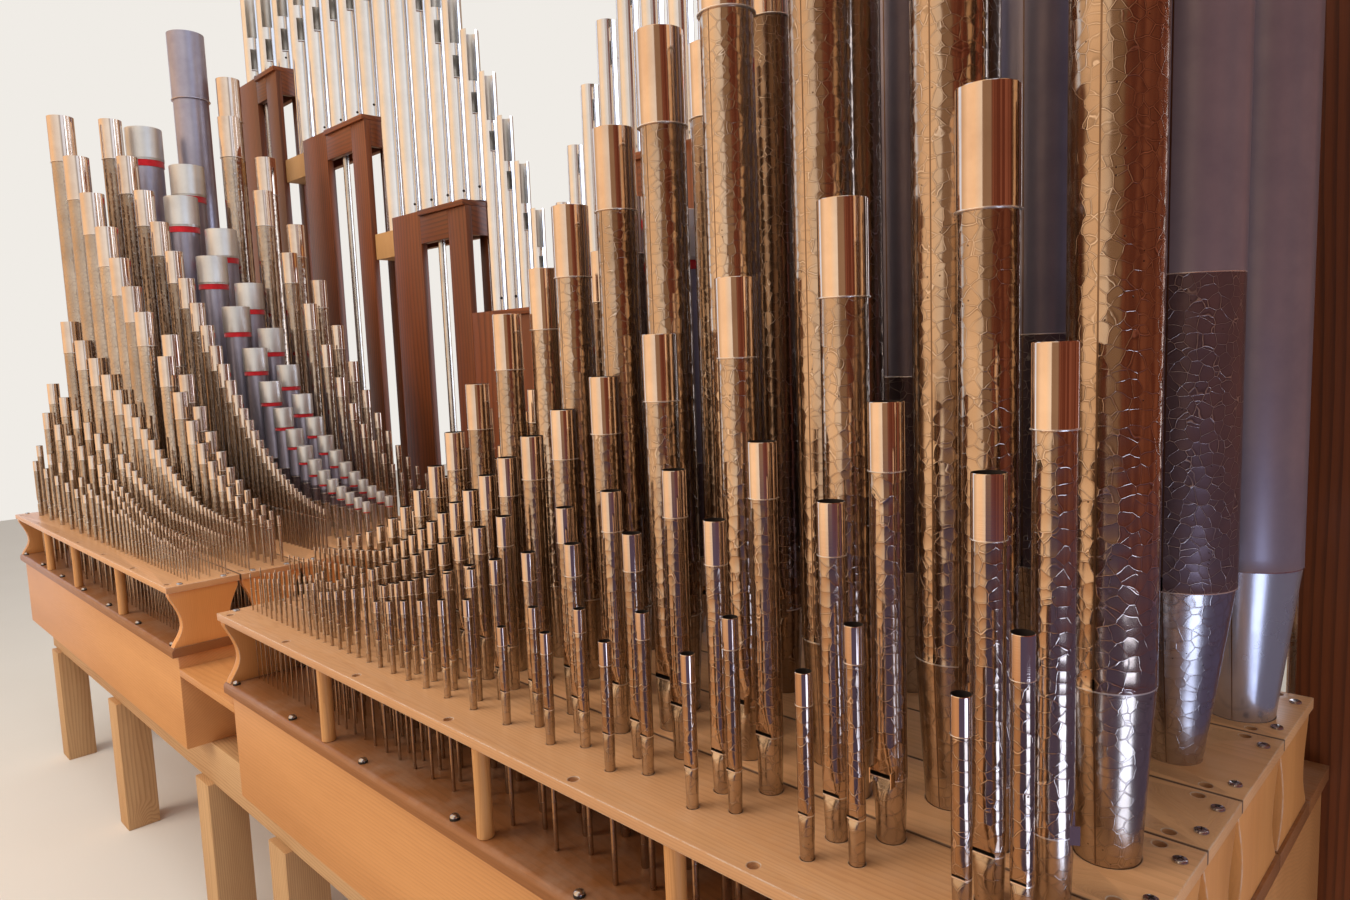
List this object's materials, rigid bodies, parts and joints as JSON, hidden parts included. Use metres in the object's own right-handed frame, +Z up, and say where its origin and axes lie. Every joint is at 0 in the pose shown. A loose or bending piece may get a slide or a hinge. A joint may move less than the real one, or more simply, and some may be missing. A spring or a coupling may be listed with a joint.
{
  "type": "pipe organ",
  "caption": "Open pipe organ: two mirrored windchests with ranks of metal pipes rising to the outer ends, on a timber frame, with a stepped walnut case and display pipes behind.",
  "frame": {"origin": "middle of the footprint, on the floor under the posts", "axes": "+X along the windchests to the right, +Y towards the stepped case, +Z up"},
  "size_m": [4.194, 1.098, 3.06],
  "materials": {
    "frame_pine": "oiled softwood",
    "chest_pine": "oiled softwood, warm",
    "toe_wood": "oiled, darker",
    "rack_wood": "smooth planed, satin",
    "walnut": "satin",
    "spotted_metal": "planished, hammered, shiny",
    "dark_metal": "planished, dull",
    "zinc": "matte",
    "cap_metal": "brushed",
    "red_felt": "felt",
    "display_metal": "bright"
  },
  "bodies": {
    "root": {"frame_posts": "frame_pine", "long_bearers": "frame_pine", "cross_bearers": "frame_pine", "case_ties": "frame_pine", "middle_board": "chest_pine", "case_posts": "walnut", "case_top_boards": "walnut", "case_rails": "walnut", "case_panels": "walnut", "packing_blocks": "frame_pine", "display_pipes": "display_metal", "case_tubes": "display_metal", "windchest_body_right": "chest_pine", "toe_boards_right": "toe_wood", "rackboards_right": "rack_wood", "rack_end_blocks_right": "rack_wood", "rack_pillars_right": "rack_wood", "mixture_1_right": "spotted_metal", "mixture_2_right": "spotted_metal", "mixture_3_right": "spotted_metal", "mixture_4_right": "spotted_metal", "octave_rank_right": "spotted_metal", "principal_rank_right": "spotted_metal", "dark_rank_right": "dark_metal", "back_rank_right": "zinc", "flute_bodies_right": "zinc", "flute_caps_right": "cap_metal", "flute_felts_right": "red_felt", "windchest_body_left": "chest_pine", "toe_boards_left": "toe_wood", "rackboards_left": "rack_wood", "rack_end_blocks_left": "rack_wood", "rack_pillars_left": "rack_wood", "mixture_1_left": "spotted_metal", "mixture_2_left": "spotted_metal", "mixture_3_left": "spotted_metal", "mixture_4_left": "spotted_metal", "octave_rank_left": "spotted_metal", "principal_rank_left": "spotted_metal", "dark_rank_left": "dark_metal", "back_rank_left": "zinc", "flute_bodies_left": "zinc", "flute_caps_left": "cap_metal", "flute_felts_left": "red_felt"}
  },
  "joints": []
}
